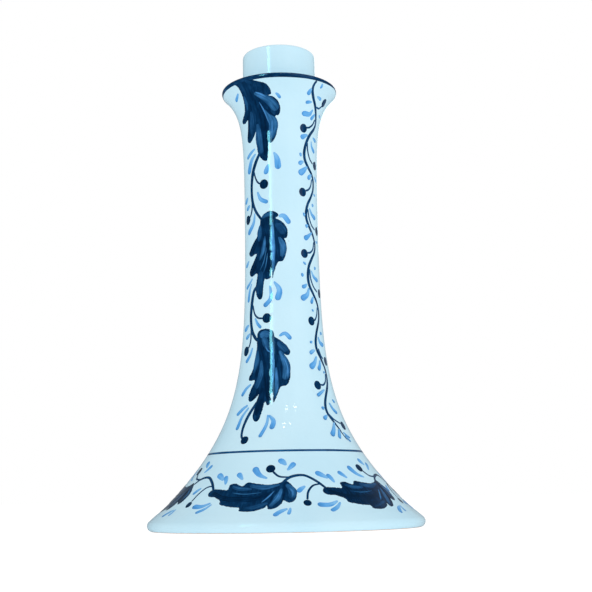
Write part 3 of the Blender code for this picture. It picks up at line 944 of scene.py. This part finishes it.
# Leaves that are painted a little aside (degrees) and heavier than the front one, by their number.
# Leaf 5, on the left edge of the foot, is painted much heavier: partly its own darker ink, partly painted
# shade where the foot turns away from the light.
FOOT_LEAF_CHANGES = {1: (0.0, 0.07), 3: (0.0, 0.07), 5: (-3.0, 0.20)}


def foot_garland(dark, light):
    """A ring of leaves, vines and berries round the bell of the foot."""
    for repeat in range(FOOT_REPEATS):
        turn = repeat * 360 / FOOT_REPEATS
        light.start_on(0.0)
        light.thin_strokes(FOOT_PETALS, WASH, turn, WASH_EDGE)
        dark.start_on(0.0)
        dark.thin_strokes(FOOT_LINES, VINE, turn)
        drift, heavier = FOOT_LEAF_CHANGES.get(repeat, (0.0, 0.0))
        dark.leaf(FOOT_LEAF, FOOT_LEAF_LOBES, turn + drift, heavier)
        dark.start_on(0.0, layer=2)
        for berry in FOOT_BERRIES:
            dark.berry(*berry, turn)


# ---- lines painted on the turning wheel

SWAY_WAVES = (2, 3, 5, 8, 13)  # how many times each wave of the hand's sway goes round
SWAY_INK = 0.05
BRISTLES_ROUND = 3.0  # how fast the streaks change across the line and round it
BAND_HALF, BAND_DRIFT = 0.58 * MM, 0.15 * MM
RIM_START, RIM_REACH, RIM_SWAY, RIM_THINNING = 100, 146, 3, 30  # degrees round the lip's section


def wheel_line(name, section, material, seed, ink, across):
    """A line painted right round while the pot turns on the wheel.

    section(share, sway, angle) gives the point and the outward normal (r, z) at a share (0 to 1) across it.
    """
    random = np.random.default_rng(seed)
    waves = [(k, random.uniform(0, math.tau), random.uniform(0.3, 1.0) / k**0.5) for k in SWAY_WAVES]
    steps = SEGMENTS * 2
    shares = [j / across for j in range(across + 1)]
    lifts = [-PAINT_SUNK] + [PAINT_LIFT] * (across - 1) + [-PAINT_SUNK]
    ring = list(zip(shares, lifts)) + [(1.0, -WHEEL_LINE_ROOT), (0.0, -WHEEL_LINE_ROOT)]
    verts, inks, brush = [], [], []
    for step in range(steps):
        angle = math.tau * step / steps
        sway = sum(size * math.sin(k * angle + phase) for k, phase, size in waves) / len(waves)
        for share, lift in ring:
            (r, z), (out, up) = section(share, sway, angle)
            radius = r + unevenness(angle, z) + lift * out
            verts.append((radius * math.sin(angle), -radius * math.cos(angle), z + lift * up))
            inks.append(ink + SWAY_INK * sway)
            brush.append((share * BRISTLES_ROUND, angle * BRISTLES_ROUND, float(seed)))
    piece = new_piece(name, verts, ring_faces(steps, len(ring)), material)
    give_paint(piece, inks, brush)
    fit(piece, "cobalt_dark")


def foot_band_section(share, sway, _):
    """The line round the foot, over its joint with the column."""
    half = BAND_HALF * (1 + 0.2 * sway)
    z = FOOT_JOINT_HEIGHT + BAND_DRIFT * sway + half * (1 - 2 * share)
    slope = outer_slope(z)
    return (outer_radius(z), z), (1 / math.hypot(1, slope), -slope / math.hypot(1, slope))


def rim_section(share, sway, angle):
    """The dark lip of the drip pan, from over its top to below its widest point. It thins to the right."""
    reach = RIM_REACH + RIM_SWAY * sway - RIM_THINNING * max(0.0, math.sin(angle)) ** 2
    tilt = math.radians(RIM_START - reach * share)
    out, up = math.cos(tilt), math.sin(tilt)
    centre, radius = (PAN_LIP_CENTRE, PAN_LIP_ROUND) if up > 0 else (PAN_UNDER_CENTRE, PAN_UNDER_ROUND)
    return (centre + radius * out, PAN_WIDEST_AT + radius * up), (out, up)


# ---- stage

FLOOR_REACH = 6.0
FLOOR_GREY, FLOOR_GLOW = (0.25, 0.25, 0.25, 1), 0.90
OPAQUE_WHITE = (1, 1, 1, 1)
WORLD_DIFFUSE = (0.87, 0.87, 0.87, 1)
ROOM_BACK = (0.20, 0.98, 0.0)  # the way to the bright side of the room
ROOM_RAMP = ((0.50, (0.02, 0.10, 0.16, 1)), (0.72, (0.05, 0.14, 0.20, 1)), (1.0, (0.28, 0.31, 0.34, 1)))

WHITE = (1, 1, 1)
STRIP_SIZE, STRIP_AIM = (0.10, 0.52), 0.62
# A lamp's name, place, the height on the axis that it faces, size, radiance and colour.
SOFT_LAMP = ("key", (0.6, -1.5, 0.9), 0.12, (1.5, 1.5), 0.75, WHITE)
GLOSS_LAMPS = [
    ("window_strip", (-0.545, -0.839, 0.62), STRIP_AIM, (0.12, 0.52), 22, (0.24, 0.82, 0.95)),
    ("window_frame", (-0.455, -0.890, 0.62), STRIP_AIM, STRIP_SIZE, 5, (0.30, 0.70, 1.0)),
    ("open_door", (0.74, -0.67, 0.62), STRIP_AIM, (0.9, 0.8), 0.5, WHITE),
    ("back_strip", (0.14, 0.99, 0.62), STRIP_AIM, STRIP_SIZE, 3, (0.5, 0.85, 1.0)),
]
PANES = [(0.29, -0.69, 0.75), (0.05, -0.73, 0.78), (0.14, -0.60, 0.86), (-0.02, -0.61, 0.87)]
PANE_AIM, PANE_SIZE, PANE_RADIANCE = 0.055, (0.07, 0.03), 24

CAMERA_PLACE = (0.0, -2.3 * TOTAL_HEIGHT, TOTAL_HEIGHT / 16)
CAMERA_SENSOR, CAMERA_LENS = 36.0, 68.17  # mm
CAMERA_YAW, CAMERA_PITCH, CAMERA_ROLL = -0.695, 10.17, -1.1  # degrees


def stage():
    """A wide pale floor that glows a little and isn't reflected."""
    material, n = new_material("pale_floor")
    n.shade({"Base Color": FLOOR_GREY, "Roughness": 1.0, "Specular IOR Level": 0.0})
    n.shade({"Emission Color": OPAQUE_WHITE, "Emission Strength": FLOOR_GLOW})
    signs = ((-1, -1), (1, -1), (1, 1), (-1, 1))
    corners = [(x * FLOOR_REACH, y * FLOOR_REACH, 0) for x, y in signs]
    floor = new_piece("floor", corners, [(0, 1, 2, 3)], material)
    floor.visible_glossy = False


def area_light(name, place, aim_height, size, radiance, colour, soft=False):
    """A rectangular lamp facing the axis. A soft one isn't reflected, any other shows in the gloss alone."""
    data = bpy.data.lights.new(name, "AREA")
    data.shape = "RECTANGLE"
    data.size, data.size_y = size
    data.energy = radiance * math.pi * size[0] * size[1]
    data.color = colour
    lamp = bpy.data.objects.new(name, data)
    bpy.context.scene.collection.objects.link(lamp)
    lamp.location = place
    aim = Vector((0, 0, aim_height)) - Vector(place)
    lamp.rotation_euler = aim.to_track_quat("-Z", "Y").to_euler()
    lamp.visible_diffuse = soft
    lamp.visible_glossy = not soft


def world():
    """Even white light. The gloss reflects a room that is bright behind and dark blue-green in front."""
    studio = bpy.data.worlds.new("studio")
    bpy.context.scene.world = studio
    studio.use_nodes = True
    n = Nodes(studio.node_tree)
    look = n.add("ShaderNodeTexCoord", {})["Generated"]
    toward = n.add("ShaderNodeVectorMath", {0: look, 1: ROOM_BACK}, operation="DOT_PRODUCT")
    room = n.ramp(n.remap(toward["Value"], -1.0, 1.0), ROOM_RAMP)
    ray = n.add("ShaderNodeLightPath", {})
    steady = n.mix(ray["Is Camera Ray"], WORLD_DIFFUSE, OPAQUE_WHITE)
    seen = n.mix(ray["Is Glossy Ray"], steady, room)
    n.feed(n.tree.nodes["Background"], {"Color": seen})


def lighting():
    world()
    area_light(*SOFT_LAMP, soft=True)
    for lamp in GLOSS_LAMPS:
        area_light(*lamp)
    for number, place in enumerate(PANES, 1):
        area_light(f"pane_{number}", place, PANE_AIM, PANE_SIZE, PANE_RADIANCE, WHITE)


def camera():
    data = bpy.data.cameras.new("camera")
    data.sensor_width = CAMERA_SENSOR
    data.lens = CAMERA_LENS
    lens = bpy.data.objects.new("camera", data)
    bpy.context.scene.collection.objects.link(lens)
    place = Matrix.Translation(CAMERA_PLACE)
    yaw = Matrix.Rotation(math.radians(CAMERA_YAW), 4, "Z")
    pitch = Matrix.Rotation(math.radians(90 + CAMERA_PITCH), 4, "X")
    roll = Matrix.Rotation(math.radians(CAMERA_ROLL), 4, "Z")
    lens.matrix_world = place @ yaw @ pitch @ roll
    bpy.context.scene.camera = lens
    bpy.context.scene.view_settings.view_transform = "Standard"


# ---- build

camera()
lighting()
stage()

glaze = glaze_material()
dark_paint = paint_material("cobalt_dark", streaks=0.10)
light_paint = paint_material("cobalt_light", streaks=0.05)
clay = clay_material()

glazed_foot_bell(glaze)
glazed_column(glaze)
glazed_drip_pan(glaze)
glazed_candle_socket(glaze)
frame["nodes"]["foot_joint_coil"].data.materials[0] = clay


def painted(stem, suffix, seed, petals_seed, brushwork, *turn):
    """A dark piece and its pale petals, painted by brushwork(dark, light, *turn)."""
    dark = Painting(stem + suffix, dark_paint, "cobalt_dark", seed)
    light = Painting(f"{stem}_petals{suffix}", light_paint, "cobalt_light", petals_seed)
    brushwork(dark, light, *turn)
    dark.finish()
    light.finish()


for number, turn in enumerate((0, 180), 1):
    painted("leaf_vine", f"_{number}", 10 + number, 20 + number, leaf_vine, turn)
    painted("berry_vine", f"_{number}", 30 + number, 40 + number, berry_vine, turn)
painted("foot_garland", "", 50, 51, foot_garland)

wheel_line("foot_band_line", foot_band_section, dark_paint, seed=5, ink=0.64, across=8)
wheel_line("rim_line", rim_section, dark_paint, seed=9, ink=0.80, across=18)
